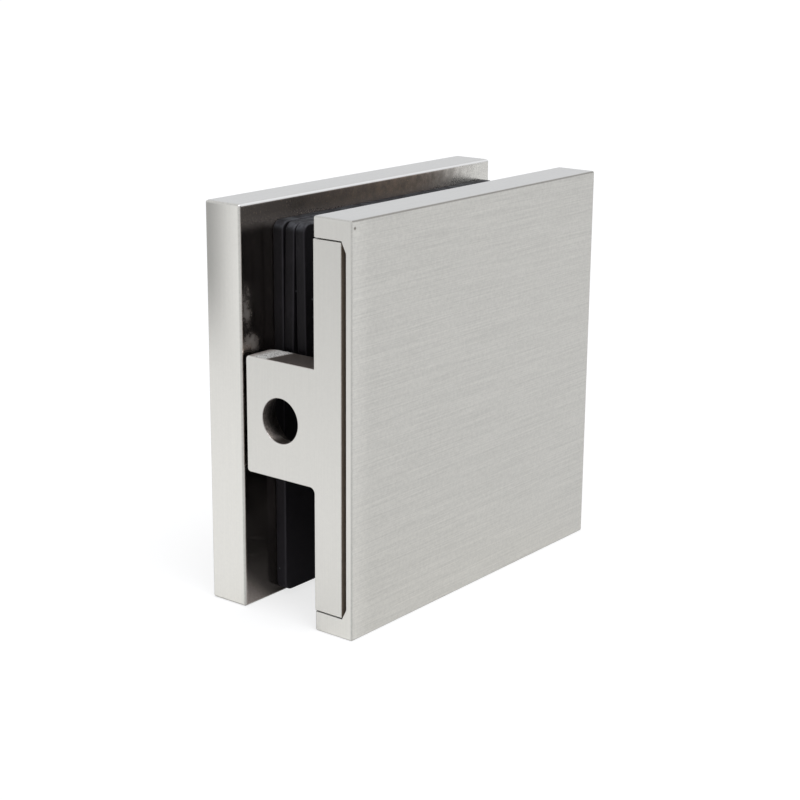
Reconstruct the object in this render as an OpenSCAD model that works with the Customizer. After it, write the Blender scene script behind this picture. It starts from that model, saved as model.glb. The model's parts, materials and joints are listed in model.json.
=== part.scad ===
// Glass clamp: a square clamp that holds a shower glass panel to a wall.
// A T-shaped base is screwed to the wall through its web. One countersunk screw in a sleeve passes
// through a hole in the glass and draws the clamp plate towards the base, with rubber between the
// plates and the glass, and a tray-shaped cover hides the screw. All sizes are in millimetres.
// The origin is on the axis of the wall screw hole, in the plane of the wall. +Y leads away from the
// wall, +Z is up, and +X points to the cover.

/* [Faces] */
// Height of the square faces
face_height = 50; // [46:0.5:70]
// Depth of the faces, measured from the wall
face_depth = 50; // [46:0.5:70]

/* [Clamp plate] */
// Thickness of the clamp plate
plate_thick = 5.6; // [5.2:0.1:10]
// Rounding of the clamp plate's edges
plate_round = 0.5; // [0.2:0.05:0.8]
// Depth of the blind tapped hole
thread_depth = 4.2; // [3.6:0.1:4.8]
// Chamfer at the mouth of the tapped hole
thread_chamfer = 0.4; // [0.2:0.1:0.8]

/* [Base] */
// Thickness of the base plate
base_thick = 4.13; // [4:0.01:6]
// Radius of the base plate's far corners
base_corner = 1.4; // [0.5:0.1:3]
// Length of the web, from the base plate to its free end
web_reach = 10.55; // [9.8:0.05:16]
// Height of the web
web_height = 14.4; // [12:0.1:18]
// Depth of the web, measured from the wall
web_depth = 4.3; // [4:0.05:5]
// Radius of the web's free corner that faces the glass
web_corner = 1.6; // [0.5:0.1:2]
// Rounding of the web's upper free edge
web_top_round = 0.5; // [0.2:0.1:1]
// Rounding of the web's lower free edge
web_low_round = 0.45; // [0.2:0.05:1]
// Fillet under the web, where it meets the base plate
web_fillet = 0.7; // [0.2:0.1:1]
// Space between the web's free end and the clamp plate
web_gap = 0.7; // [0.65:0.05:1]

/* [Wall screw hole] */
// Diameter of the wall screw hole
wall_hole_d = 5.5; // [4:0.1:6]
// Length of the straight wall screw hole
wall_hole_length = 1.7; // [1:0.1:2]
// Diameter of the seat for the wall screw's head
wall_head_d = 8.8; // [8:0.1:9.4]

/* [Cover] */
// Rounding of the cover's outer edges
cover_round = 0.35; // [0.2:0.05:0.6]
// Thickness of the cover's front wall
cover_wall = 0.92; // [0.8:0.01:2]
// Width of the cover's rims above, below and beyond the base plate
cover_rim = 2.5; // [1.5:0.1:4]
// Clearance between the rims and the base plate
cover_fit = 0.1; // [0.05:0.01:0.3]
// Space between the base plate and the floor of the cover's pocket
floor_gap = 0.65; // [0.3:0.05:1]
// Height of the sloping corner between the pocket's floor and a rim
floor_slope = 1.3; // [0.8:0.1:2]

/* [Clamp screw] */
// Distance of the clamp screw from the wall
screw_depth = 25; // [24:0.5:28]
// Length of the clamp screw's tip that is held in the clamp plate
screw_hold = 2.52; // [2.2:0.01:3]
// Outer diameter of the thread
screw_d = 5.9; // [4.9:0.1:6]
// Radial clearance of the thread
thread_clear = 0.05; // [0.02:0.01:0.1]
// Diameter of the screw's head
screw_head_d = 11.6; // [10:0.1:12]
// Height of the head's straight rim
screw_head_rim = 0.3; // [0.1:0.1:0.6]
// Depth of the head below the face of the base plate
screw_head_sink = 0.1; // [0.05:0.05:0.3]
// Clearance between the head and its countersink
screw_head_clear = 0.08; // [0.04:0.01:0.1]
// Clearance around the shank in the base plate
shank_clear = 0.35; // [0.3:0.05:0.5]
// Width of the hexagon socket across its flats
socket_flats = 4; // [3:0.5:5]
// Depth of the hexagon socket
socket_depth = 2.3; // [1.5:0.1:2.6]
// Chamfer at the screw's tip
tip_chamfer = 0.6; // [0.3:0.1:1]

/* [Sleeve] */
// Outer diameter of the sleeve round the clamp screw
sleeve_d = 12; // [10:0.1:13]
// Clearance between the sleeve and the screw
sleeve_clear = 0.3; // [0.1:0.05:0.5]
// Space between the sleeve and the base plate
sleeve_gap = 0.1; // [0.05:0.05:0.2]
// Space between the sleeve and the clamp plate
sleeve_end_gap = 0.95; // [0.85:0.05:1.6]

/* [Rubber] */
// Thickness of the gaskets
gasket_thick = 1.6; // [1:0.1:2]
// Distance of the gaskets and strips from the wall
gasket_inset = 5.7; // [5:0.1:8]
// Margin between the gaskets and the plates' far edges
gasket_far_edge = 1; // [0.5:0.1:4]
// Margin above and below a centred gasket
gasket_edge = 1.65; // [1.2:0.05:4]
// Corner radius of the rubber sheets
gasket_corner = 1.2; // [0.5:0.1:2]
// Clearance between the gaskets' round hole and the sleeve
gasket_hole_clear = 1.05; // [0.5:0.05:1.5]
// Thickness of the packing strips
strip_thick = 1.45; // [1:0.05:1.6]
// Space between the back gasket and the foot of the first packing strip
strip_gap_back = 0.06; // [0.05:0.01:0.3]
// Space between the feet of the two packing strips
strip_gap_between = 0.6; // [0.55:0.05:0.8]
// Lean of the first packing strip towards the base, in degrees
strip_lean_back = 1.1; // [0:0.1:1.2]
// Lean of the second packing strip towards the clamp plate, in degrees
strip_lean_front = 0.75; // [0:0.05:0.8]
// Space between the rubber and the top of the sleeve that it hangs on
rest_gap = 0.15; // [0.1:0.01:0.3]

/* [Hidden] */
$fn = 64;

// Excess length of a cut past the face that it opens
cut = 1;

// Places along X, from the clamp plate's outer face to the cover's outer face
web_end_x = -web_reach / 2;
base_face_x = web_reach / 2;
plate_face_x = web_end_x - web_gap;
plate_out_x = plate_face_x - plate_thick;
base_out_x = base_face_x + base_thick;
floor_x = base_out_x + floor_gap;
cover_out_x = floor_x + cover_wall;
screw_top_x = base_out_x - screw_head_sink;

// Lengths that follow the width of the slot
screw_length = screw_top_x - plate_face_x + screw_hold;
sleeve_length = base_face_x - plate_face_x - sleeve_gap - sleeve_end_gap;

// Height of the web's top above the axis of the wall screw hole
web_top = web_height / 2;

// Pocket of the cover, and the base plate that fits in it
pocket_top = face_height / 2 - cover_rim;
pocket_end = face_depth - cover_rim;
base_top = pocket_top - cover_fit;
base_end = pocket_end - cover_fit;

// Rubber sheets: the gaskets' holes hang on the sleeve, so the gaskets sit a little low, and the
// packing strips stand on the sleeve
sleeve_top = sleeve_d / 2;
gasket_drop = gasket_hole_clear - rest_gap;
gasket_length = face_depth - gasket_far_edge - gasket_inset;
gasket_height = face_height - 2 * gasket_edge;
gasket_top = gasket_height / 2 - gasket_drop;
strip_foot = sleeve_top + rest_gap;
strip_height = gasket_top - strip_foot;
back_strip_x = plate_face_x + gasket_thick + strip_gap_back;
front_strip_x = back_strip_x + strip_thick + strip_gap_between;

// Rectangle with four rounded corners, centred on the origin
module round_rect(size, r) {
    square([size.x - 2 * r, size.y], center = true);
    square([size.x, size.y - 2 * r], center = true);
    for (sx = [-1, 1], sy = [-1, 1])
        translate([sx * (size.x / 2 - r), sy * (size.y / 2 - r)])
            circle(r);
}

// Sliver of a square corner that lies outside a quarter circle, with the corner at the origin
module corner_sliver(r) {
    difference() {
        square(r);
        translate([r, r])
            circle(r);
    }
}

// Extrudes a Y-Z outline along X, from x to x + length
module along_x(x, length) {
    translate([x, 0, 0])
        rotate([90, 0, 90])
            linear_extrude(length)
                children();
}

// Extrudes an X-Z outline along Y, from y to y + length
module along_y(y, length) {
    translate([0, y + length, 0])
        rotate([90, 0, 0])
            linear_extrude(length)
                children();
}

// Block with all twelve edges rounded, from one corner at the origin in Y, centred in X and Z
module rounded_plate(size, r) {
    translate([0, size.y / 2, 0])
        intersection() {
            linear_extrude(size.z, center = true)
                round_rect([size.x, size.y], r);
            rotate([90, 0, 0])
                linear_extrude(size.y, center = true)
                    round_rect([size.x, size.z], r);
            rotate([90, 0, 90])
                linear_extrude(size.x, center = true)
                    round_rect([size.y, size.z], r);
        }
}

// Plate that ends square at the wall and has rounded corners at its far end, as a Y-Z outline
module wall_plate_outline(length, top, r) {
    translate([0, -top])
        square([length - r, 2 * top]);
    translate([0, r - top])
        square([length, 2 * (top - r)]);
    for (side = [-1, 1])
        translate([length - r, side * (top - r)])
            circle(r);
}

// End view of the web, as an X-Z outline, sunk into the base plate by the cut length
module web_section() {
    difference() {
        translate([web_end_x, -web_top])
            square([web_reach + cut, web_height]);
        translate([web_end_x, web_top])
            mirror([0, 1])
                corner_sliver(web_top_round);
        translate([web_end_x, -web_top])
            corner_sliver(web_low_round);
    }
}

// Plan of the web, with its free corner rounded
module web_plan() {
    difference() {
        translate([web_end_x, 0])
            square([web_reach + cut, web_depth]);
        translate([web_end_x, web_depth])
            mirror([0, 1])
                corner_sliver(web_corner);
    }
}

// Web that stands between the plates at the wall, with a fillet below
module web() {
    intersection() {
        along_y(0, web_depth)
            web_section();
        linear_extrude(web_height, center = true)
            web_plan();
    }
    along_y(0, web_depth)
        translate([base_face_x, -web_top])
            rotate(180)
                corner_sliver(web_fillet);
}

// Wall screw hole through the web, with a countersunk seat and a free way behind it
module wall_screw_cut() {
    seat_depth = (wall_head_d - wall_hole_d) / 2;
    rotate([-90, 0, 0]) {
        translate([0, 0, -cut])
            cylinder(h = web_depth + cut, d = wall_hole_d);
        translate([0, 0, wall_hole_length])
            cylinder(h = seat_depth, d1 = wall_hole_d, d2 = wall_head_d);
        translate([0, 0, wall_hole_length + seat_depth])
            cylinder(h = web_depth, d = wall_head_d);
    }
}

// Places a child on the clamp screw's axis, with its +Z pointing from the head to the tip
module on_screw_axis(x) {
    translate([x, screw_depth, 0])
        rotate([0, -90, 0])
            children();
}

// Countersunk hole for the clamp screw in the base plate
module clamp_screw_cut() {
    head_r = screw_head_d / 2 + screw_head_clear;
    hole_r = screw_d / 2 + shank_clear;
    on_screw_axis(screw_top_x) {
        translate([0, 0, -screw_head_sink - cut])
            cylinder(h = screw_head_rim + screw_head_sink + cut, r = head_r);
        translate([0, 0, screw_head_rim])
            cylinder(h = head_r - hole_r, r1 = head_r, r2 = hole_r);
        cylinder(h = base_thick + cut, r = hole_r);
    }
}

module base() {
    color("silver")
        difference() {
            union() {
                along_x(base_face_x, base_thick)
                    wall_plate_outline(base_end, base_top, base_corner);
                web();
            }
            wall_screw_cut();
            clamp_screw_cut();
        }
}

// Pocket of the cover, as an X-Z outline with sloping corners beside the floor
module pocket_section() {
    polygon([
        [base_face_x - cut, -pocket_top],
        [base_out_x, -pocket_top],
        [floor_x, floor_slope - pocket_top],
        [floor_x, pocket_top - floor_slope],
        [base_out_x, pocket_top],
        [base_face_x - cut, pocket_top]
    ]);
}

module cover() {
    depth = cover_out_x - base_face_x;
    color("lightgray")
        difference() {
            translate([base_face_x + depth / 2, 0, 0])
                rounded_plate([depth, face_depth, face_height], cover_round);
            intersection() {
                along_y(-cut, pocket_end + cut)
                    pocket_section();
                along_x(base_face_x - cut, depth + cut)
                    translate([-cut, 0])
                        wall_plate_outline(pocket_end + cut, pocket_top, base_corner + cover_fit);
            }
        }
}

module clamp_plate() {
    hole_r = screw_d / 2 + thread_clear;
    color("lightgray")
        difference() {
            translate([plate_out_x + plate_thick / 2, 0, 0])
                rounded_plate([plate_thick, face_depth, face_height], plate_round);
            on_screw_axis(plate_face_x + cut)
                cylinder(h = thread_depth + cut, r = hole_r);
            on_screw_axis(plate_face_x)
                cylinder(h = thread_chamfer, r1 = hole_r + thread_chamfer, r2 = hole_r);
        }
}

module clamp_screw() {
    head_cone = (screw_head_d - screw_d) / 2;
    socket_r = socket_flats / 2 / cos(30);
    color("gray")
        on_screw_axis(screw_top_x)
            difference() {
                union() {
                    cylinder(h = screw_head_rim, d = screw_head_d);
                    translate([0, 0, screw_head_rim])
                        cylinder(h = head_cone, d1 = screw_head_d, d2 = screw_d);
                    cylinder(h = screw_length - tip_chamfer, d = screw_d);
                    translate([0, 0, screw_length - tip_chamfer])
                        cylinder(h = tip_chamfer, d1 = screw_d, d2 = screw_d - 2 * tip_chamfer);
                }
                translate([0, 0, -cut])
                    cylinder(h = socket_depth + cut, r = socket_r, $fn = 6);
            }
}

// Sleeve that keeps the clamp screw off the glass
module screw_sleeve() {
    color("white")
        on_screw_axis(base_face_x - sleeve_gap)
            difference() {
                cylinder(h = sleeve_length, d = sleeve_d);
                translate([0, 0, -cut])
                    cylinder(h = sleeve_length + 2 * cut, d = screw_d + 2 * sleeve_clear);
            }
}

// Gasket sheet as a Y-Z outline, with a round hole for the sleeve
module gasket_outline() {
    translate([0, -gasket_drop])
        difference() {
            translate([gasket_inset + gasket_length / 2, 0])
                round_rect([gasket_length, gasket_height], gasket_corner);
            translate([screw_depth, 0])
                circle(sleeve_d / 2 + gasket_hole_clear);
        }
}

module back_gasket() {
    color("black")
        along_x(plate_face_x, gasket_thick)
            gasket_outline();
}

module front_gasket() {
    color("black")
        along_x(base_face_x - gasket_thick, gasket_thick)
            gasket_outline();
}

// Packing strip that stands on the sleeve, leaning about its lower back edge
module packing_strip(x, lean) {
    translate([x, gasket_inset, strip_foot])
        rotate([0, lean, 0])
            along_x(0, strip_thick)
                translate([gasket_length / 2, strip_height / 2])
                    round_rect([gasket_length, strip_height], gasket_corner);
}

module back_strip() {
    color("black")
        packing_strip(back_strip_x, strip_lean_back);
}

module front_strip() {
    color("black")
        packing_strip(front_strip_x, -strip_lean_front);
}

base();
cover();
clamp_plate();
clamp_screw();
screw_sleeve();
back_gasket();
front_gasket();
back_strip();
front_strip();
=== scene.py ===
import json
import math

import bmesh
import bpy
from bpy.props import FloatProperty, FloatVectorProperty, IntProperty, PointerProperty
from mathutils import Matrix, Vector

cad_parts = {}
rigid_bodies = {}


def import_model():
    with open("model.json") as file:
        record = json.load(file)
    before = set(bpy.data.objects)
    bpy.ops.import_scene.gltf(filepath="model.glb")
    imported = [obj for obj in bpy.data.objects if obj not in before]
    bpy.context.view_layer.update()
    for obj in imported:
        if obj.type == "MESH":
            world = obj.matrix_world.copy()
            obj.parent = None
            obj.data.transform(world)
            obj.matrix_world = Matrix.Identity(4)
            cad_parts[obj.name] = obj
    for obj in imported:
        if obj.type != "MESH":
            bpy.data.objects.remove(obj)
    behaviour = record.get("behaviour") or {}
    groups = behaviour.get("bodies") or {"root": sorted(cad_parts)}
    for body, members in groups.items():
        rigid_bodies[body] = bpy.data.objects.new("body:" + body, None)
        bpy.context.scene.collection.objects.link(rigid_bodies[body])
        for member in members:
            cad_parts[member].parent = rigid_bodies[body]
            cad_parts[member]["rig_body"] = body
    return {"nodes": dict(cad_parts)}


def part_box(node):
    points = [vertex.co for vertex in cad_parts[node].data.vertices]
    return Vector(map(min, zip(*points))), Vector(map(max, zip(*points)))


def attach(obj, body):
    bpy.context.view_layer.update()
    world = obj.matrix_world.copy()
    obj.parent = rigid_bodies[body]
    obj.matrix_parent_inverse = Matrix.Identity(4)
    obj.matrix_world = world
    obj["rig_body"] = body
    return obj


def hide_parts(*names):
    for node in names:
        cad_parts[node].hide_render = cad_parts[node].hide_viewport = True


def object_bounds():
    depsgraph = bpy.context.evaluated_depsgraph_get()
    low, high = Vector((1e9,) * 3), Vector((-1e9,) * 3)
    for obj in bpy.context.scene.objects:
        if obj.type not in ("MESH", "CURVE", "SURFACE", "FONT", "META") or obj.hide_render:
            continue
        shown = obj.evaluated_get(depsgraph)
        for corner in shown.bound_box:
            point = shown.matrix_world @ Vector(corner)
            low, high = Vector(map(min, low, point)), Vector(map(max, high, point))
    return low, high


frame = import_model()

bl_info = {
    "name": "Glass Clamp",
    "version": (1, 0, 0),
    "blender": (4, 5, 0),
    "location": "3D View > Sidebar > Glass Clamp",
    "description": "Dresses a square glass clamp in brushed metal, rubber and nylon, on a pale studio floor",
    "category": "Object",
}

CAD_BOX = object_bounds()
MM = 0.001

# Merging distance for doubled corners, and the angles that tell flat, smooth and sharp edges apart
MERGE_DISTANCE = 0.001 * MM
FLAT_ANGLE = math.radians(0.2)
SHARP_ANGLE = math.radians(35)

# Segments of a turned circle, and half the thread ridge's width at its root and crest, in pitches
TURN_STEPS = 48
RIDGE_ROOT = 0.44
RIDGE_CREST = 0.06

# Cosines between which a surface comes to face along an axis
FACING_SPAN = (0.8, 0.97)

# Spans that most values of a soft noise and of the metal's grain fill
NOISE_SPAN = (0.3, 0.7)
GRAIN_SPAN = (0.35, 0.65)

# Weights of the broad lines and the mottle beside the fine lines, and the middle of their sum
BROAD_WEIGHT = 0.2
MOTTLE_WEIGHT = 0.57
PATTERN_MIDDLE = 0.885

# Share of the cells in which no speck lies
EMPTY_CELLS = 0.94

# Gloss of the films on the metal, and of the rubber
FILM_GLOSS = 0.2
RUBBER_GLOSS = 0.22

# Directions from the clamp to the picture's near left and to the key lamp
NEAR_LEFT = (-0.85, -0.53, 0.0)
KEY_DIRECTION = (0.37, -0.12, 0.92)

# Dried smears on the clamp plate's inner face: the centre and reach along Y and leaning Z, and the strength
DRIED_SMEARS = (
    ((1.9 * MM, 9.0 * MM), (1.7 * MM, 1.5 * MM), 1.0),
    ((1.0 * MM, 13.1 * MM), (1.2 * MM, 3.3 * MM), 0.9),
    ((2.2 * MM, -15.8 * MM), (3.0 * MM, 0.3 * MM), 0.2),
    ((1.4 * MM, -18.1 * MM), (2.2 * MM, 0.3 * MM), 0.18),
)


class ClampShapeSettings(bpy.types.PropertyGroup):
    """Sizes of the fine shapes on the clamp's pieces"""

    metal_edge: FloatProperty(
        name="Metal edge", description="Width of the broken edge on the cast and machined metal",
        default=0.13 * MM, min=0.0, unit="LENGTH")
    rubber_edge: FloatProperty(
        name="Rubber edge", description="Rounding of the rubber sheets' edges",
        default=0.25 * MM, min=0.0, unit="LENGTH")
    edge_segments: IntProperty(
        name="Edge segments", description="Segments across a rounded edge", default=3, min=1)
    thread_pitch: FloatProperty(
        name="Thread pitch", description="Distance between two turns of the clamp screw's thread",
        default=1.0 * MM, unit="LENGTH")
    thread_depth: FloatProperty(
        name="Thread depth", description="Depth of the clamp screw's thread",
        default=0.56 * MM, unit="LENGTH")
    sleeve_edge: FloatProperty(
        name="Sleeve edge", description="Chamfer at the ends of the sleeve",
        default=0.4 * MM, unit="LENGTH")


class ClampFinishSettings(bpy.types.PropertyGroup):
    """Colours and marks of the clamp's finishes, and colours of painted light and shade"""

    metal: FloatVectorProperty(
        name="Satin metal", description="Colour of the brushed nickel finish",
        default=(0.7, 0.683, 0.634), subtype="COLOR", min=0.0, max=1.0)
    # Painted light: a cooler colour for the tops, standing in for the cool light from above
    painted_cool_top_metal: FloatVectorProperty(
        name="Upper metal", description="Colour of the brushed nickel on the plates' tops",
        default=(0.69, 0.682, 0.658), subtype="COLOR", min=0.0, max=1.0)
    # Painted shade: a darker colour that stands in for the shade inside the slot
    shaded_inner_metal: FloatVectorProperty(
        name="Inner metal", description="Colour of the smooth metal inside the slot",
        default=(0.39, 0.345, 0.315), subtype="COLOR", min=0.0, max=1.0)
    # Also the dark colour of the painted shade line along the cover's upper front edge
    tarnish_and_edge_shade: FloatVectorProperty(
        name="Tarnish", description="Colour of the brown film on the inner metal",
        default=(0.075, 0.053, 0.035), subtype="COLOR", min=0.0, max=1.0)
    # Painted light: the colour of the pool of light on the web's top
    painted_light_patch: FloatVectorProperty(
        name="Bare casting", description="Colour of the bare metal on the web's top",
        default=(0.72, 0.71, 0.68), subtype="COLOR", min=0.0, max=1.0)
    steel: FloatVectorProperty(
        name="Screw steel", description="Colour of the clamp screw",
        default=(0.5, 0.5, 0.5), subtype="COLOR", min=0.0, max=1.0)
    rubber: FloatVectorProperty(
        name="Rubber", description="Colour of the gaskets and packing strips",
        default=(0.0092, 0.0083, 0.0099), subtype="COLOR", min=0.0, max=1.0)
    nylon: FloatVectorProperty(
        name="Nylon", description="Colour of the screw sleeve",
        default=(0.78, 0.76, 0.7), subtype="COLOR", min=0.0, max=1.0)
    haze: FloatVectorProperty(
        name="Haze", description="Colour of the dry film left by wiping",
        default=(0.3, 0.29, 0.275), subtype="COLOR", min=0.0, max=1.0)
    # Painted highlight: the colour of the highlight along the clamp plate's upper inner edge
    painted_edge_highlight: FloatVectorProperty(
        name="Bright edge", description="Colour of the bare metal on the clamp plate's upper inner edge",
        default=(0.95, 0.94, 0.92), subtype="COLOR", min=0.0, max=1.0)
    # Also the colour of the painted sheen on the rubber's tops
    dust_and_sheen: FloatVectorProperty(
        name="Dust", description="Colour of the dust and scuffs on the rubber",
        default=(0.27, 0.29, 0.31), subtype="COLOR", min=0.0, max=1.0)
    brush_width: FloatProperty(
        name="Brush line width", description="Width of a fine brush line",
        default=0.11 * MM, unit="LENGTH")
    brush_length: FloatProperty(
        name="Brush line length", description="Length of a fine brush line",
        default=10 * MM, unit="LENGTH")
    brush_contrast: FloatProperty(
        name="Brush contrast", description="Share by which a brush line changes the metal's brightness",
        default=0.16, min=0.0, max=1.0)


class ClampStageSettings(bpy.types.PropertyGroup):
    """Camera, light and floor of the studio"""

    camera_place: FloatVectorProperty(
        name="Camera place", description="Place of the camera in the clamp's frame",
        default=(134.28 * MM, -148.7 * MM, 58.9 * MM), subtype="TRANSLATION", unit="LENGTH")
    camera_yaw: FloatProperty(
        name="Camera yaw", description="Turn of the camera about the vertical",
        default=math.radians(38.05), subtype="ANGLE", unit="ROTATION")
    camera_pitch: FloatProperty(
        name="Camera pitch", description="Angle at which the camera looks down",
        default=math.radians(15.7), subtype="ANGLE", unit="ROTATION")
    camera_roll: FloatProperty(
        name="Camera roll", description="Turn of the camera about its line of sight",
        default=math.radians(0.45), subtype="ANGLE", unit="ROTATION")
    lens: FloatProperty(
        name="Lens", description="Focal length for a 36 mm sensor, in millimetres", default=79.9)
    floor_size: FloatProperty(
        name="Floor size", description="Side of the square floor", default=8.0, unit="LENGTH")
    floor_colour: FloatVectorProperty(
        name="Floor", description="Colour of the pale floor",
        default=(0.84, 0.835, 0.815), subtype="COLOR", min=0.0, max=1.0)
    floor_shade: FloatProperty(
        name="Floor shade", description="Grey on which the camera sees the clamp's shadow", default=0.3)
    floor_glow: FloatProperty(
        name="Floor glow", description="Strength of the floor's own white to the camera", default=0.75)
    mirrored_floor_shade: FloatProperty(
        name="Mirrored floor shade", description="Grey of the floor in mirroring surfaces", default=0.86)
    mirrored_floor_glow: FloatProperty(
        name="Mirrored floor glow", description="Strength of the floor's white in mirroring surfaces",
        default=0.04)
    sky_colour: FloatVectorProperty(
        name="Sky", description="Colour of the soft light from all round",
        default=(0.95, 0.965, 1.0), subtype="COLOR", min=0.0, max=1.0)
    sky_strength: FloatProperty(
        name="Sky strength", description="Strength of the soft light from all round", default=0.62)
    sky_mirrored: FloatProperty(
        name="Mirrored sky", description="Strength of the sky in mirroring surfaces", default=0.9)
    sky_lean: FloatProperty(
        name="Sky lean", description="Share by which the sky is brighter at the near left", default=0.12)
    key_strength: FloatProperty(
        name="Key strength", description="Strength of the wide key lamp", default=1.4)
    key_spread: FloatProperty(
        name="Key spread", description="Angle over which the key lamp spreads",
        default=math.radians(30), subtype="ANGLE", unit="ROTATION")


# Node helpers

def add(tree, kind, values=None, **settings):
    """Adds a node with the given settings and unlinked input values."""
    node = tree.nodes.new(kind)
    for name, value in settings.items():
        setattr(node, name, value)
    for name, value in (values or {}).items():
        node.inputs[name].default_value = value
    return node


def feed(tree, target, value):
    """Gives an input socket a number, a colour or a link from an output socket."""
    if isinstance(value, bpy.types.NodeSocket):
        tree.links.new(target, value)
    else:
        target.default_value = value


def calc(tree, operation, first, second=0.0, clamp=False):
    """Adds a Math node on two values or sockets and returns its output."""
    node = add(tree, "ShaderNodeMath", operation=operation, use_clamp=clamp)
    feed(tree, node.inputs[0], first)
    feed(tree, node.inputs[1], second)
    return node.outputs[0]


def remap(tree, value, low, high, out_low=0.0, out_high=1.0):
    """Maps a value from one range to another, clamped and smooth at both ends."""
    node = add(tree, "ShaderNodeMapRange", interpolation_type="SMOOTHSTEP")
    feed(tree, node.inputs["Value"], value)
    for name, number in (("From Min", low), ("From Max", high), ("To Min", out_low), ("To Max", out_high)):
        node.inputs[name].default_value = number
    return node.outputs["Result"]


def blend_colours(tree, share, first, second):
    """Mixes two colours by a share from 0 to 1."""
    node = add(tree, "ShaderNodeMix", data_type="RGBA")
    feed(tree, node.inputs["Factor"], share)
    feed(tree, node.inputs["A"], rgba(first))
    feed(tree, node.inputs["B"], rgba(second))
    return node.outputs["Result"]


def blend(tree, share, first, second):
    """Mixes two values by a share from 0 to 1."""
    node = add(tree, "ShaderNodeMix", data_type="FLOAT")
    for socket, value in zip((node.inputs[0], node.inputs[2], node.inputs[3]), (share, first, second)):
        feed(tree, socket, value)
    return node.outputs[0]


def product(tree, *values):
    """Multiplies values or sockets."""
    result = values[0]
    for value in values[1:]:
        result = calc(tree, "MULTIPLY", result, value)
    return result


def total(tree, *values):
    """Adds values or sockets."""
    result = values[0]
    for value in values[1:]:
        result = calc(tree, "ADD", result, value)
    return result


def distance(tree, *parts):
    """The length of a vector with the given parts."""
    return calc(tree, "SQRT", total(tree, *(calc(tree, "POWER", part, 2.0) for part in parts)))


def spot(tree, across, up, centre, reach):
    """A soft oval mask, 1 at its centre and 0 from its reach on."""
    offsets = [calc(tree, "DIVIDE", calc(tree, "SUBTRACT", value, middle), length)
               for value, middle, length in zip((across, up), centre, reach)]
    return remap(tree, distance(tree, *offsets), 0.2, 1.0, 1.0, 0.0)


def scale_colour(tree, colour, factor):
    """Multiplies a colour by a value."""
    node = add(tree, "ShaderNodeVectorMath", operation="SCALE")
    feed(tree, node.inputs[0], colour if isinstance(colour, bpy.types.NodeSocket) else tuple(colour))
    feed(tree, node.inputs["Scale"], factor)
    return node.outputs["Vector"]


def rgba(colour):
    """A colour with its alpha, or the socket that gives one."""
    return colour if isinstance(colour, bpy.types.NodeSocket) else (*colour, 1.0)


def noise(tree, position, scale, detail=2.0, roughness=0.5):
    """Noise from 0 to 1 over a position."""
    node = add(tree, "ShaderNodeTexNoise", {"Scale": scale, "Detail": detail, "Roughness": roughness})
    tree.links.new(node.inputs["Vector"], position)
    return node.outputs["Fac"]


def split(tree, vector):
    """The X, Y and Z parts of a vector."""
    node = add(tree, "ShaderNodeSeparateXYZ")
    tree.links.new(node.inputs[0], vector)
    return node.outputs


def stretched(tree, position, factors):
    """A position with each axis multiplied by its own factor."""
    node = add(tree, "ShaderNodeVectorMath", operation="MULTIPLY")
    tree.links.new(node.inputs[0], position)
    joined = add(tree, "ShaderNodeCombineXYZ")
    for target, factor in zip(joined.inputs, factors):
        feed(tree, target, factor)
    tree.links.new(node.inputs[1], joined.outputs[0])
    return node.outputs[0]


def new_group(name, inputs, outputs):
    """Makes a shader node group with named sockets and returns it with its input and output nodes."""
    tree = bpy.data.node_groups.new(name, "ShaderNodeTree")
    for label, kind in inputs:
        tree.interface.new_socket(label, in_out="INPUT", socket_type=kind)
    for label in outputs:
        tree.interface.new_socket(label, in_out="OUTPUT", socket_type="NodeSocketFloat")
    return tree, tree.nodes.new("NodeGroupInput"), tree.nodes.new("NodeGroupOutput")


def place_group(tree, group, values):
    """Places a node group in a material and feeds its inputs."""
    node = add(tree, "ShaderNodeGroup", node_tree=group)
    for name, value in values.items():
        feed(tree, node.inputs[name], value)
    return node.outputs


# Shared effects

def brush_lines_group():
    """Fine and broad brush lines, along Y on the faces and tops, and along Z on the ends."""
    name = "Brush lines"
    if name in bpy.data.node_groups:
        return bpy.data.node_groups[name]
    tree, given, out = new_group(
        name,
        [("Position", "NodeSocketVector"), ("End", "NodeSocketFloat"),
         ("Across", "NodeSocketFloat"), ("Along", "NodeSocketFloat")],
        ["Fine", "Broad"])
    across, along = given.outputs["Across"], given.outputs["Along"]
    on_face = stretched(tree, given.outputs["Position"], (across, along, across))
    on_end = stretched(tree, given.outputs["Position"], (across, across, along))
    chosen = add(tree, "ShaderNodeMix", data_type="VECTOR")
    feed(tree, chosen.inputs["Factor"], calc(tree, "GREATER_THAN", given.outputs["End"], 0.5))
    for socket, source in ((chosen.inputs[4], on_face), (chosen.inputs[5], on_end)):
        tree.links.new(socket, source)
    lines = chosen.outputs[1]
    tree.links.new(out.inputs["Fine"], remap(tree, noise(tree, lines, 1.0, 4.0, 0.7), *NOISE_SPAN))
    tree.links.new(out.inputs["Broad"], remap(tree, noise(tree, lines, 0.25, 2.0), 0.25, 0.75))
    return tree


def facing_group():
    """Tells faces along X, ends along Y and level surfaces along Z from the rounded edges between them."""
    name = "Facing"
    if name in bpy.data.node_groups:
        return bpy.data.node_groups[name]
    labels = ["Face", "End", "Level"]
    tree, given, out = new_group(name, [("Normal", "NodeSocketVector")], labels + ["Edge"])
    highest = 0.0
    for label, part in zip(labels, split(tree, given.outputs["Normal"])):
        flat = remap(tree, calc(tree, "ABSOLUTE", part), *FACING_SPAN)
        tree.links.new(out.inputs[label], flat)
        highest = calc(tree, "MAXIMUM", flat, highest)
    tree.links.new(out.inputs["Edge"], calc(tree, "SUBTRACT", 1.0, highest))
    return tree


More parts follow.
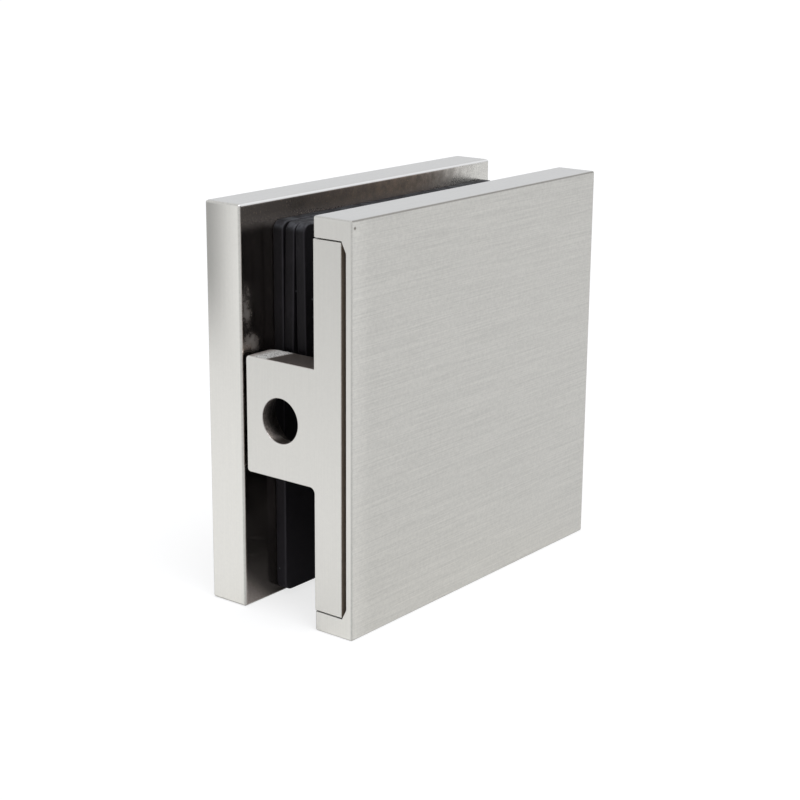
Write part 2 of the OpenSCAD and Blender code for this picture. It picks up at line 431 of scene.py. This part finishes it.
def handling_marks_group():
    """Cloudy wipe marks and small specks of dust."""
    name = "Handling marks"
    if name in bpy.data.node_groups:
        return bpy.data.node_groups[name]
    tree, given, out = new_group(
        name, [("Position", "NodeSocketVector"), ("Cloud size", "NodeSocketFloat"),
               ("Speck size", "NodeSocketFloat")], ["Clouds", "Specks"])
    position = given.outputs["Position"]
    cloud_scale = calc(tree, "DIVIDE", 1.0, given.outputs["Cloud size"])
    speck_scale = calc(tree, "DIVIDE", 1.0, given.outputs["Speck size"])
    clouds = noise(tree, position, 1.0, 4.0, 0.62)
    clouds.node.inputs["Distortion"].default_value = 0.6
    tree.links.new(clouds.node.inputs["Scale"], cloud_scale)
    cells = add(tree, "ShaderNodeTexVoronoi", {"Randomness": 1.0})
    tree.links.new(cells.inputs["Vector"], position)
    tree.links.new(cells.inputs["Scale"], speck_scale)
    rare = calc(tree, "GREATER_THAN", split(tree, cells.outputs["Color"])[0], EMPTY_CELLS)
    round_speck = remap(tree, cells.outputs["Distance"], 0.06, 0.16, 1.0, 0.0)
    tree.links.new(out.inputs["Clouds"], remap(tree, clouds, 0.45, 0.75))
    tree.links.new(out.inputs["Specks"], calc(tree, "MULTIPLY", rare, round_speck))
    return tree


# Materials

def start_material(name):
    """A new node material with an unlinked Principled shader, and its coordinates."""
    material = bpy.data.materials.new(name)
    material.use_nodes = True
    tree = material.node_tree
    tree.nodes.clear()
    shader = add(tree, "ShaderNodeBsdfPrincipled")
    surface = add(tree, "ShaderNodeOutputMaterial")
    tree.links.new(surface.inputs["Surface"], shader.outputs["BSDF"])
    return material, tree, shader, add(tree, "ShaderNodeTexCoord")


def give_bump(tree, shader, height, depth):
    """Feeds a height from 0 to 1, of the given depth, to the shader's normal."""
    bump = add(tree, "ShaderNodeBump", {"Strength": 1.0, "Distance": depth})
    tree.links.new(bump.inputs["Height"], height)
    tree.links.new(shader.inputs["Normal"], bump.outputs["Normal"])


def satin_metal(name, finish, tone, inner_side, extra):
    """Brushed nickel of the given brightness, with painted light and shade by facing, smooth and darkened by
    painted shade where it faces inner_side along X.

    The extra function takes the material's values and returns them with the marks and painted light and shade
    of one piece.
    """
    material, tree, shader, coordinates = start_material(name)
    position, normal = coordinates.outputs["Object"], coordinates.outputs["Normal"]
    facing = place_group(tree, facing_group(), {"Normal": normal})
    lines = place_group(tree, brush_lines_group(), {
        "Position": position, "End": facing["End"],
        "Across": 1.0 / finish.brush_width, "Along": 1.0 / finish.brush_length})
    marks = place_group(tree, handling_marks_group(), {
        "Position": position, "Cloud size": 7 * MM, "Speck size": 0.8 * MM})
    x, y, z = split(tree, position)
    toward_x, _, toward_z = split(tree, normal)
    grain = noise(tree, position, 1.0 / (0.22 * MM), 3.0, 0.7)

    # Long brush lines and a short grain, which show most on the faces and least on the ends
    depth = product(tree, finish.brush_contrast, total(
        tree, 1.0, product(tree, facing["End"], -0.75), product(tree, facing["Level"], -0.5)))
    tilted = add(tree, "ShaderNodeMapping", {"Rotation": (0.6, 0.9, 0.4)}, vector_type="POINT")
    tree.links.new(tilted.inputs["Vector"], position)
    mottle = remap(tree, noise(tree, tilted.outputs[0], 1.0 / (0.4 * MM), 3.0, 0.65), *NOISE_SPAN)
    pattern = total(tree, lines["Fine"], product(tree, lines["Broad"], BROAD_WEIGHT),
                    product(tree, mottle, MOTTLE_WEIGHT), -PATTERN_MIDDLE)
    brushing = total(tree, 1.0, product(tree, pattern, depth))

    # Painted light and shade: faces darker than the ends and lighter by the wall, ends brighter below, tops
    # set to one brightness and rounded edges dim; faces also have small pits
    shade = total(tree, tone, product(tree, facing["Face"], remap(tree, y, 0.3 * MM, 4 * MM, -0.04, -0.135)),
                  product(tree, facing["Face"], marks["Specks"], -0.25),
                  product(tree, facing["End"], remap(tree, z, -16 * MM, 30 * MM, 0.15, -0.09)),
                  product(tree, facing["Level"], 0.95 - tone), product(tree, facing["Edge"], -0.24))
    # Painted light: the level tops take a cooler nickel colour for the cool light from above
    nickel = blend_colours(tree, facing["Level"], finish.metal, finish.painted_cool_top_metal)
    colour = scale_colour(tree, nickel, product(tree, brushing, shade))
    rough = remap(tree, lines["Fine"], 0.0, 1.0, 0.36, 0.42)

    # The side that faces the slot or the pocket is smooth and has a little dust; painted shade makes it dark,
    # less so toward the far end
    inside = remap(tree, product(tree, toward_x, inner_side), *FACING_SPAN)
    plain = blend_colours(tree, remap(tree, y, 33 * MM, 47 * MM), finish.shaded_inner_metal, finish.metal)
    inner = scale_colour(tree, plain, remap(tree, grain, *GRAIN_SPAN, 0.85, 1.1))
    smooth = total(tree, remap(tree, grain, *GRAIN_SPAN, 0.0, 0.06),
                   remap(tree, z, -8 * MM, 6 * MM, 0.11, 0.18))
    values = {
        "Base Color": blend_colours(tree, inside, colour, inner),
        "Roughness": blend(tree, inside, rough, smooth),
        "Metallic": calc(tree, "SUBTRACT", 1.0, product(tree, inside, marks["Specks"]), clamp=True),
    }
    values = extra(tree, values, {
        "finish": finish, "position": position, "x": x, "y": y, "z": z, "toward_x": toward_x,
        "toward_z": toward_z, "inside": inside, "grain": grain, "clouds": marks["Clouds"],
        "edge": facing["Edge"], "end": facing["End"]})
    for socket, value in values.items():
        feed(tree, shader.inputs[socket], value)
    shader.inputs["Specular IOR Level"].default_value = FILM_GLOSS
    give_bump(tree, shader, product(tree, lines["Fine"], calc(tree, "SUBTRACT", 1.0, inside)), 0.0025 * MM)
    return material


def coat(tree, values, share, colour, roughness, metallic):
    """Covers a share of a material's values with another finish."""
    return {
        "Base Color": blend_colours(tree, share, values["Base Color"], colour),
        "Roughness": blend(tree, share, values["Roughness"], roughness),
        "Metallic": blend(tree, share, values["Metallic"], metallic),
    }


def upper_edge(tree, at):
    """A mask of the rounded edges between a top and a face toward +X."""
    return product(tree, at["edge"], remap(tree, at["toward_z"], 0.2, 0.5),
                   remap(tree, at["toward_x"], 0.2, 0.5))


def cover_marks(tree, values, at):
    """A brown pocket floor, a thin line of painted shade along the upper front edge in place of a dark
    reflection, and a small pit in the front.
    """
    tarnish_and_edge_shade = at["finish"].tarnish_and_edge_shade
    floor = product(tree, at["inside"], remap(tree, at["x"], 7 * MM, 8 * MM), 0.75)
    values = coat(tree, values, floor, scale_colour(tree, tarnish_and_edge_shade, 3.5), 0.6, 0.2)
    # Painted shade: a thin dark line along the upper front edge, in place of a dark reflection
    values = coat(tree, values, product(tree, upper_edge(tree, at), 0.45), tarnish_and_edge_shade, 0.5, 0.6)
    pit = product(tree, remap(tree, at["toward_x"], 0.5, 0.9),
                  spot(tree, at["y"], at["z"], (0.55 * MM, 24.1 * MM), (0.28 * MM, 0.28 * MM)))
    return coat(tree, values, product(tree, pit, 0.8), tarnish_and_edge_shade, 0.6, 0.5)


def bore_shading(tree, values, at):
    """A less glossy wall screw hole, with painted shade deeper in and painted light on its lower side."""
    y, z = at["y"], at["z"]
    bore = product(tree, remap(tree, distance(tree, at["x"], z), 5.0 * MM, 5.2 * MM, 1.0, 0.0),
                   remap(tree, y, 0.04 * MM, 0.12 * MM), calc(tree, "SUBTRACT", 1.0, at["end"]))
    # Painted shade deeper in the bore, and painted light on its lower side
    painted_bore_shade = scale_colour(tree, at["finish"].shaded_inner_metal, product(
        tree, remap(tree, y, 0.1 * MM, 1.5 * MM, 1.1, 0.16), remap(tree, at["grain"], *GRAIN_SPAN, 0.7, 1.25),
        remap(tree, z, -2.6 * MM, 0.5 * MM, 1.9, 0.75)))
    return coat(tree, values, bore, painted_bore_shade, 0.5, 0.85)


def pocket_rim_marks(tree, values, at):
    """A brown film on the side of the base plate that lies in the pocket, by the wall."""
    rim = product(tree, remap(tree, at["toward_x"], *FACING_SPAN), remap(tree, at["x"], 9.0 * MM, 9.2 * MM),
                  remap(tree, at["y"], 0.3 * MM, 3 * MM, 0.8, 0.0))
    return coat(tree, values, rim, scale_colour(tree, at["finish"].tarnish_and_edge_shade, 3.0), 0.5, 0.3)


def web_top_light_and_shadow(tree, values, at):
    """A speckled pool of painted light beside painted shadow on the web's top, with a slanting shadow border.
    """
    finish, x, grain = at["finish"], at["x"], at["grain"]
    top = product(tree, remap(tree, at["toward_z"], *FACING_SPAN),
                  remap(tree, at["z"], 9 * MM, 10 * MM, 1.0, 0.0))
    # Painted light and shadow: light on the -X side of a slanting shadow border, fading again near the -X end
    border = total(tree, x, product(tree, at["y"], -0.17), 2.15 * MM,
                   product(tree, calc(tree, "SUBTRACT", grain, 0.5), 0.8 * MM))
    lit = product(tree, remap(tree, border, -0.2 * MM, 0.2 * MM, 1.0, 0.0),
                   remap(tree, x, -5.2 * MM, -3.4 * MM, 0.1, 1.0))
    speckled = scale_colour(tree, finish.painted_light_patch, remap(tree, grain, 0.38, 0.58, 0.45, 1.1))
    # Painted shade: the whole top takes the darker inner metal colour, and the painted light lies on part of
    # it
    values = coat(tree, values, top, scale_colour(tree, finish.shaded_inner_metal, 1.75), 0.36, 1.0)
    return coat(tree, values, product(tree, top, lit), speckled, 0.6, 0.15)


def base_marks(tree, values, at):
    """The marks and painted light and shade of the base: in its bore, in the pocket and on the web's top."""
    for marks in (bore_shading, pocket_rim_marks, web_top_light_and_shadow):
        values = marks(tree, values, at)
    return values


def tarnish_marks(tree, values, at):
    """A brown, flecked film above the gasket and beside it, which fades toward the far end."""
    y, z, clouds, blotches = at["y"], at["z"], at["clouds"], at["blotches"]
    ragged = total(tree, y, product(tree, calc(tree, "SUBTRACT", blotches, 0.5), 16 * MM))
    above = product(tree, remap(tree, z, 21.4 * MM, 23.6 * MM), remap(tree, y, 1 * MM, 12 * MM, 0.8, 0.95),
                    remap(tree, ragged, 30 * MM, 48 * MM, 1.0, 0.05),
                    remap(tree, clouds, 0.0, 1.0, 0.85, 1.0))
    beside = product(tree, remap(tree, z, 22.3 * MM, 23.6 * MM, 1.0, 0.0),
                     remap(tree, y, 36 * MM, 42 * MM), remap(tree, clouds, 0.1, 0.5))
    speckles = remap(tree, at["grain"], 0.4, 0.62)
    tarnished = product(tree, at["inside"], calc(tree, "MAXIMUM", above, beside),
                        remap(tree, speckles, 0.0, 1.0, 0.82, 1.0))
    darkness = product(tree, remap(tree, blotches, 0.32, 0.68, 0.65, 1.5),
                       remap(tree, y, 4 * MM, 32 * MM, 0.12, 1.8))
    flecks = remap(tree, at["grain"], 0.58, 0.7, 0.0, 3.0)
    brown = scale_colour(tree, at["finish"].tarnish_and_edge_shade, total(tree, darkness, flecks))
    return coat(tree, values, tarnished, brown, remap(tree, y, 2 * MM, 34 * MM, 0.24, 0.62), 0.2)


def lower_shade_marks(tree, values, at):
    """Painted shade on the lower inner face, all but its lower corner by the wall, where the mirrored floor
    lies in shadow.
    """
    slanted = total(tree, at["z"], product(tree, at["y"], 0.95))
    # Painted shade: the lower inner face darkened where the mirrored floor lies in shadow
    painted_lower_shade = product(tree, at["inside"], remap(tree, at["z"], -17 * MM, -11 * MM, 1.0, 0.0),
                   remap(tree, slanted, -22.5 * MM, -19 * MM, 0.0, 0.9))
    return coat(tree, values, painted_lower_shade, scale_colour(tree, at["finish"].shaded_inner_metal, 0.25), 0.2, 0.85)


def smear_marks(tree, values, at):
    """A thin dry film on the inner face, thick where it dried in smears."""
    leaning = total(tree, at["z"], product(tree, at["y"], 0.34))
    smears = [product(tree, spot(tree, at["y"], leaning, centre, reach), share)
              for centre, reach, share in DRIED_SMEARS]
    dried = product(tree, total(tree, *smears), remap(tree, at["blotches"], 0.38, 0.6, 0.1, 0.55))
    thin = remap(tree, at["clouds"], 0.0, 1.0, 0.008, 0.045)
    film = product(tree, at["inside"], total(tree, dried, thin))
    return coat(tree, values, film, at["finish"].haze, 0.6, 0.1)


def plate_edge_light_and_shade(tree, values, at):
    """A painted highlight along the upper inner edge, and painted shade on the end at its upper outer corner.
    """
    # Painted highlight along the upper inner edge
    values = coat(tree, values, upper_edge(tree, at), at["finish"].painted_edge_highlight, 0.3, 1.0)
    # Painted shade on the end, at its upper outer corner
    dim = product(tree, at["end"], remap(tree, at["x"], -11.6 * MM, -6 * MM, 0.45, -0.12),
                  remap(tree, at["z"], 3 * MM, 18 * MM))
    darker = scale_colour(tree, values["Base Color"], calc(tree, "SUBTRACT", 1.0, dim))
    return values | {"Base Color": darker}


def plate_marks(tree, values, at):
    """The marks and painted light and shade of the clamp plate, most of them on its inner face."""
    at = at | {"blotches": noise(tree, at["position"], 1.0 / (1.1 * MM), 4.0, 0.65)}
    for marks in (tarnish_marks, lower_shade_marks, smear_marks, plate_edge_light_and_shade):
        values = marks(tree, values, at)
    return values


def black_rubber(finish):
    """Matt moulded rubber with a fine grain, a painted highlight on its edges and tops, painted light low
    down, and a little dust.
    """
    material, tree, shader, coordinates = start_material("Black rubber")
    position, normal = coordinates.outputs["Object"], coordinates.outputs["Normal"]
    grain = noise(tree, position, 1.0 / (0.12 * MM), 3.0, 0.6)
    marks = place_group(tree, handling_marks_group(), {
        "Position": position, "Cloud size": 6 * MM, "Speck size": 0.9 * MM})
    tone = remap(tree, marks["Clouds"], 0.0, 1.0, 0.8, 1.5)
    facing = place_group(tree, facing_group(), {"Normal": normal})
    _, _, toward_z = split(tree, normal)
    painted_sheen = noise(tree, position, 1.0 / (1.2 * MM), 3.0, 0.65)
    # Painted light: paler low down, and a painted highlight on the rounded edges
    painted_light_below = remap(tree, split(tree, position)["Z"], -22 * MM, -4 * MM, 1.6, 0.0)
    tone_and_painted_light = total(tree, tone, product(tree, facing["Edge"], 1.6), painted_light_below)
    rubber_with_painted_light = scale_colour(tree, finish.rubber, tone_and_painted_light)
    # Painted highlight: a pale sheen on the tops, mixed with the specks of dust
    painted_top_sheen = product(tree, remap(tree, toward_z, 0.1, 0.6), remap(tree, painted_sheen, 0.38, 0.68, 0.02, 0.18))
    dust_and_sheen_share = total(tree, product(tree, marks["Specks"], 0.55), painted_top_sheen)
    tree.links.new(shader.inputs["Base Color"], blend_colours(tree, dust_and_sheen_share, rubber_with_painted_light, finish.dust_and_sheen))
    tree.links.new(shader.inputs["Roughness"], remap(tree, grain, *NOISE_SPAN, 0.5, 0.66))
    shader.inputs["Specular IOR Level"].default_value = RUBBER_GLOSS
    give_bump(tree, shader, grain, 0.006 * MM)
    return material


def turned_rings(tree, coordinates, centre, width):
    """Concentric tool marks round an axis along X, from 0 to 1."""
    moved = add(tree, "ShaderNodeMapping", vector_type="POINT")
    moved.inputs["Location"].default_value = (0.0, -centre.y, -centre.z)
    tree.links.new(moved.inputs["Vector"], coordinates.outputs["Object"])
    x, y, z = split(tree, moved.outputs[0])
    place = add(tree, "ShaderNodeCombineXYZ")
    tree.links.new(place.inputs[0], x)
    tree.links.new(place.inputs[1], distance(tree, y, z))
    return noise(tree, place.outputs[0], 1.0 / width, 2.0)


def screw_steel(finish, centre):
    """Bright turned steel."""
    material, tree, shader, coordinates = start_material("Screw steel")
    rings = turned_rings(tree, coordinates, centre, 0.12 * MM)
    marks = place_group(tree, handling_marks_group(), {
        "Position": coordinates.outputs["Object"], "Cloud size": 3 * MM, "Speck size": 0.8 * MM})
    tone = calc(tree, "SUBTRACT", remap(tree, rings, *NOISE_SPAN, 0.92, 1.06),
                calc(tree, "MULTIPLY", marks["Clouds"], 0.12))
    tree.links.new(shader.inputs["Base Color"], scale_colour(tree, finish.steel, tone))
    tree.links.new(shader.inputs["Roughness"], remap(tree, rings, *NOISE_SPAN, 0.24, 0.34))
    shader.inputs["Metallic"].default_value = 1.0
    give_bump(tree, shader, rings, 0.003 * MM)
    return material


def natural_nylon(finish, centre):
    """Waxy natural nylon, cut on a lathe."""
    material, tree, shader, coordinates = start_material("Natural nylon")
    rings = turned_rings(tree, coordinates, centre, 0.2 * MM)
    marks = place_group(tree, handling_marks_group(), {
        "Position": coordinates.outputs["Object"], "Cloud size": 4 * MM, "Speck size": 0.8 * MM})
    tone = calc(tree, "SUBTRACT", remap(tree, rings, *NOISE_SPAN, 0.96, 1.0),
                calc(tree, "MULTIPLY", marks["Clouds"], 0.06))
    tree.links.new(shader.inputs["Base Color"], scale_colour(tree, finish.nylon, tone))
    tree.links.new(shader.inputs["Roughness"], remap(tree, rings, *NOISE_SPAN, 0.4, 0.5))
    give_bump(tree, shader, rings, 0.006 * MM)
    return material


# Shapes

def finish_piece(bm, name, node, material):
    """Makes an object of a bmesh, in place of a CAD node and on its body."""
    mesh = bpy.data.meshes.new(name)
    bm.to_mesh(mesh)
    bm.free()
    if "custom_normal" in mesh.attributes:
        mesh.attributes.remove(mesh.attributes["custom_normal"])
    mesh.materials.clear()
    mesh.materials.append(material)
    mesh.shade_smooth()
    mesh.set_sharp_from_angle(angle=SHARP_ANGLE)
    piece = bpy.data.objects.new(name, mesh)
    bpy.context.scene.collection.objects.link(piece)
    flat = piece.modifiers.new("Flat faces", "WEIGHTED_NORMAL")
    flat.mode = "FACE_AREA"
    flat.keep_sharp = True
    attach(piece, frame["nodes"][node]["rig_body"])
    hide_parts(node)
    return piece


def softened_copy(node, edge, segments):
    """A merged copy of a CAD node's mesh with its sharp outer edges rounded."""
    bm = bmesh.new()
    bm.from_mesh(frame["nodes"][node].data)
    bmesh.ops.remove_doubles(bm, verts=bm.verts, dist=MERGE_DISTANCE)
    bmesh.ops.dissolve_limit(bm, angle_limit=FLAT_ANGLE, verts=bm.verts, edges=bm.edges)
    sharp = [e for e in bm.edges if e.is_convex and e.calc_face_angle(0.0) > SHARP_ANGLE]
    if sharp:
        bmesh.ops.bevel(bm, geom=sharp, offset=edge, offset_type="OFFSET", affect="EDGES",
                        segments=segments, profile=0.5, material=-1, clamp_overlap=False)
    return bm


def screw_axis():
    """A point on the clamp screw's axis, which runs along X."""
    low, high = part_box("clamp_screw")
    return (low + high) / 2


def add_turned(bm, points, centre):
    """Turns (x, radius) points, the first and the last on the axis, about an axis along X."""
    line = [bm.verts.new((x, centre.y, centre.z + radius)) for x, radius in points]
    edges = [bm.edges.new(pair) for pair in zip(line, line[1:])]
    bmesh.ops.spin(bm, geom=line + edges, cent=centre, axis=(1, 0, 0), angle=math.tau, steps=TURN_STEPS,
                   use_merge=True)


def add_thread(bm, start, end, crest, root, pitch, centre):
    """Winds a right-hand thread ridge about an axis along X, from start down to end."""
    profile = [(-RIDGE_ROOT, root), (-RIDGE_CREST, crest), (RIDGE_CREST, crest), (RIDGE_ROOT, root)]
    first = start - pitch / 2
    ring = [bm.verts.new((first + share * pitch, centre.y, centre.z + radius)) for share, radius in profile]
    edges = [bm.edges.new(pair) for pair in zip(ring, ring[1:] + ring[:1])]
    steps = int((start - end - pitch) / pitch * TURN_STEPS)
    bmesh.ops.spin(bm, geom=ring + edges, cent=centre, axis=(-1, 0, 0), dvec=(-pitch / TURN_STEPS, 0, 0),
                   angle=math.tau * steps / TURN_STEPS, steps=steps)


def threaded_screw(shape):
    """The clamp screw's head with its socket, on a threaded shank in place of the plain one."""
    centre = screw_axis()
    corners = [v.co for v in frame["nodes"]["clamp_screw"].data.vertices]
    tip = min(c.x for c in corners)
    crest = max((c - centre).yz.length for c in corners if c.x < centre.x)
    ends = [c.x for c in corners if abs((c - centre).yz.length - crest) < MERGE_DISTANCE]
    root = crest - shape.thread_depth
    bm = softened_copy("clamp_screw", shape.metal_edge, shape.edge_segments)
    bmesh.ops.bisect_plane(bm, geom=bm.verts[:] + bm.edges[:] + bm.faces[:], clear_inner=True,
                           plane_co=(max(ends) - shape.metal_edge, 0, 0), plane_no=(1, 0, 0))
    add_turned(bm, [(max(ends), 0), (max(ends), root), (tip + shape.thread_depth / 2, root),
                    (tip, root - shape.thread_depth / 2), (tip, 0)], centre)
    add_thread(bm, max(ends), min(ends), crest, root - shape.metal_edge, shape.thread_pitch, centre)
    bmesh.ops.remove_doubles(bm, verts=bm.verts, dist=MERGE_DISTANCE)
    bmesh.ops.holes_fill(bm, edges=[e for e in bm.edges if e.is_boundary], sides=0)
    bmesh.ops.recalc_face_normals(bm, faces=bm.faces)
    return bm


# Stage

def make_floor(stage):
    """A pale floor under the clamp, white to the camera apart from the clamp's shadow."""
    bm = bmesh.new()
    bmesh.ops.create_grid(bm, x_segments=1, y_segments=1, size=stage.floor_size / 2,
                          matrix=Matrix.Translation((0.0, 0.0, CAD_BOX[0].z)))
    mesh = bpy.data.meshes.new("floor")
    bm.to_mesh(mesh)
    bm.free()
    material = bpy.data.materials.new("Pale floor")
    material.use_nodes = True
    tree = material.node_tree
    tree.nodes.clear()
    path = add(tree, "ShaderNodeLightPath")
    mirrored = calc(tree, "MAXIMUM", path.outputs["Is Glossy Ray"], path.outputs["Is Transmission Ray"])
    shown = calc(tree, "MAXIMUM", path.outputs["Is Camera Ray"], mirrored)
    matt = add(tree, "ShaderNodeBsdfDiffuse")
    greys = blend_colours(tree, mirrored, [stage.floor_shade] * 3, [stage.mirrored_floor_shade] * 3)
    feed(tree, matt.inputs["Color"], blend_colours(tree, shown, stage.floor_colour, greys))
    glow = add(tree, "ShaderNodeEmission", {"Color": (1.0, 1.0, 1.0, 1.0)})
    feed(tree, glow.inputs["Strength"], blend(
        tree, mirrored, product(tree, shown, stage.floor_glow), stage.mirrored_floor_glow))
    both = add(tree, "ShaderNodeAddShader")
    tree.links.new(both.inputs[0], matt.outputs[0])
    tree.links.new(both.inputs[1], glow.outputs[0])
    surface = add(tree, "ShaderNodeOutputMaterial")
    tree.links.new(surface.inputs["Surface"], both.outputs[0])
    mesh.materials.append(material)
    floor = bpy.data.objects.new("floor", mesh)
    bpy.context.scene.collection.objects.link(floor)


def make_sky(stage):
    """Soft light from all round, which the camera sees as white."""
    world = bpy.data.worlds.new("Studio sky")
    bpy.context.scene.world = world
    world.use_nodes = True
    tree = world.node_tree
    tree.nodes.clear()
    path = add(tree, "ShaderNodeLightPath")
    mirrored = calc(tree, "MAXIMUM", path.outputs["Is Glossy Ray"], path.outputs["Is Transmission Ray"])
    direction = add(tree, "ShaderNodeTexCoord").outputs["Generated"]
    near_left = add(tree, "ShaderNodeVectorMath", operation="DOT_PRODUCT")
    feed(tree, near_left.inputs[0], direction)
    feed(tree, near_left.inputs[1], NEAR_LEFT)
    lean = total(tree, 1.0, product(tree, near_left.outputs["Value"], stage.sky_lean))
    strength = product(tree, lean, blend(tree, mirrored, stage.sky_strength, stage.sky_mirrored))
    light = scale_colour(tree, stage.sky_colour, strength)
    colour = blend_colours(tree, path.outputs["Is Camera Ray"], light, (1.0, 1.0, 1.0))
    sky = add(tree, "ShaderNodeBackground", {"Strength": 1.0})
    tree.links.new(sky.inputs["Color"], colour)
    surface = add(tree, "ShaderNodeOutputWorld")
    tree.links.new(surface.inputs["Surface"], sky.outputs[0])


def make_key_lamp(stage):
    """A wide, distant lamp above the clamp, a little to the cover's side."""
    lamp = bpy.data.lights.new("key_lamp", "SUN")
    lamp.color = stage.sky_colour
    lamp.energy = stage.key_strength
    lamp.angle = stage.key_spread
    key = bpy.data.objects.new("key_lamp", lamp)
    key.rotation_euler = Vector(KEY_DIRECTION).to_track_quat("Z", "Y").to_euler()
    bpy.context.scene.collection.objects.link(key)


def make_camera(stage):
    """The camera at the photograph's viewing angle."""
    lens = bpy.data.cameras.new("camera")
    lens.lens = stage.lens
    lens.sensor_width = 36.0
    lens.clip_start = 1 * MM
    camera = bpy.data.objects.new("camera", lens)
    turn = (Matrix.Rotation(stage.camera_yaw, 4, "Z")
            @ Matrix.Rotation(math.pi / 2 - stage.camera_pitch, 4, "X")
            @ Matrix.Rotation(stage.camera_roll, 4, "Z"))
    camera.matrix_world = Matrix.Translation(stage.camera_place) @ turn
    bpy.context.scene.collection.objects.link(camera)
    bpy.context.scene.camera = camera


# Operators

class GLASS_CLAMP_OT_metal(bpy.types.Operator):
    """Makes the cover, the base and the clamp plate in brushed nickel"""

    bl_idname = "glass_clamp.metal"
    bl_label = "Brushed Metal"

    def execute(self, context):
        shape, finish = context.scene.glass_clamp_shape, context.scene.glass_clamp_finish
        for node, name, tone, inner_side, marks in (
                ("cover", "cover_tray", 1.0, -1.0, cover_marks),
                ("base", "base_casting", 0.965, -1.0, base_marks),
                ("clamp_plate", "clamp_plate_block", 1.07, 1.0, plate_marks)):
            bm = softened_copy(node, shape.metal_edge, shape.edge_segments)
            finish_piece(bm, name, node, satin_metal("Satin " + node, finish, tone, inner_side, marks))
        return {"FINISHED"}


class GLASS_CLAMP_OT_rubber(bpy.types.Operator):
    """Makes the two gaskets and the two packing strips in black rubber"""

    bl_idname = "glass_clamp.rubber"
    bl_label = "Rubber Sheets"

    def execute(self, context):
        shape, finish = context.scene.glass_clamp_shape, context.scene.glass_clamp_finish
        rubber = black_rubber(finish)
        for node in ("back_gasket", "front_gasket", "back_strip", "front_strip"):
            bm = softened_copy(node, shape.rubber_edge, shape.edge_segments)
            finish_piece(bm, node + "_sheet", node, rubber)
        return {"FINISHED"}


class GLASS_CLAMP_OT_sleeve(bpy.types.Operator):
    """Makes the sleeve round the clamp screw in natural nylon"""

    bl_idname = "glass_clamp.sleeve"
    bl_label = "Screw Sleeve"

    def execute(self, context):
        shape, finish = context.scene.glass_clamp_shape, context.scene.glass_clamp_finish
        bm = softened_copy("screw_sleeve", shape.sleeve_edge, shape.edge_segments)
        finish_piece(bm, "sleeve_tube", "screw_sleeve", natural_nylon(finish, screw_axis()))
        return {"FINISHED"}


class GLASS_CLAMP_OT_screw(bpy.types.Operator):
    """Makes the threaded clamp screw in bright steel"""

    bl_idname = "glass_clamp.screw"
    bl_label = "Clamp Screw"

    def execute(self, context):
        shape, finish = context.scene.glass_clamp_shape, context.scene.glass_clamp_finish
        steel = screw_steel(finish, screw_axis())
        finish_piece(threaded_screw(shape), "clamp_screw_threaded", "clamp_screw", steel)
        return {"FINISHED"}


class GLASS_CLAMP_OT_stage(bpy.types.Operator):
    """Sets up the pale floor, the soft light and the camera"""

    bl_idname = "glass_clamp.stage"
    bl_label = "Studio Stage"

    def execute(self, context):
        stage = context.scene.glass_clamp_stage
        make_floor(stage)
        make_sky(stage)
        make_key_lamp(stage)
        make_camera(stage)
        context.scene.view_settings.view_transform = "Standard"
        return {"FINISHED"}


# Panel and registration

class GLASS_CLAMP_PT_sidebar(bpy.types.Panel):
    """Lists the clamp's settings and the operators that make its pieces"""

    bl_label = "Glass Clamp"
    bl_idname = "GLASS_CLAMP_PT_sidebar"
    bl_space_type = "VIEW_3D"
    bl_region_type = "UI"
    bl_category = "Glass Clamp"

    def draw(self, context):
        for settings in (context.scene.glass_clamp_shape, context.scene.glass_clamp_finish,
                         context.scene.glass_clamp_stage):
            box = self.layout.box()
            for name in settings.__annotations__:
                box.prop(settings, name)
        for operator in OPERATORS:
            self.layout.operator(operator.bl_idname)


SETTINGS = {
    "glass_clamp_shape": ClampShapeSettings,
    "glass_clamp_finish": ClampFinishSettings,
    "glass_clamp_stage": ClampStageSettings,
}
OPERATORS = (GLASS_CLAMP_OT_metal, GLASS_CLAMP_OT_rubber, GLASS_CLAMP_OT_sleeve, GLASS_CLAMP_OT_screw,
             GLASS_CLAMP_OT_stage)
CLASSES = (*SETTINGS.values(), *OPERATORS, GLASS_CLAMP_PT_sidebar)


def register():
    for cls in CLASSES:
        bpy.utils.register_class(cls)
    for name, cls in SETTINGS.items():
        setattr(bpy.types.Scene, name, PointerProperty(type=cls))


def unregister():
    for name in SETTINGS:
        delattr(bpy.types.Scene, name)
    for cls in reversed(CLASSES):
        bpy.utils.unregister_class(cls)


def main():
    """Registers the add-on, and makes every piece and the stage."""
    register()
    bpy.ops.glass_clamp.metal()
    bpy.ops.glass_clamp.rubber()
    bpy.ops.glass_clamp.sleeve()
    bpy.ops.glass_clamp.screw()
    bpy.ops.glass_clamp.stage()


if __name__ == "__main__":
    main()
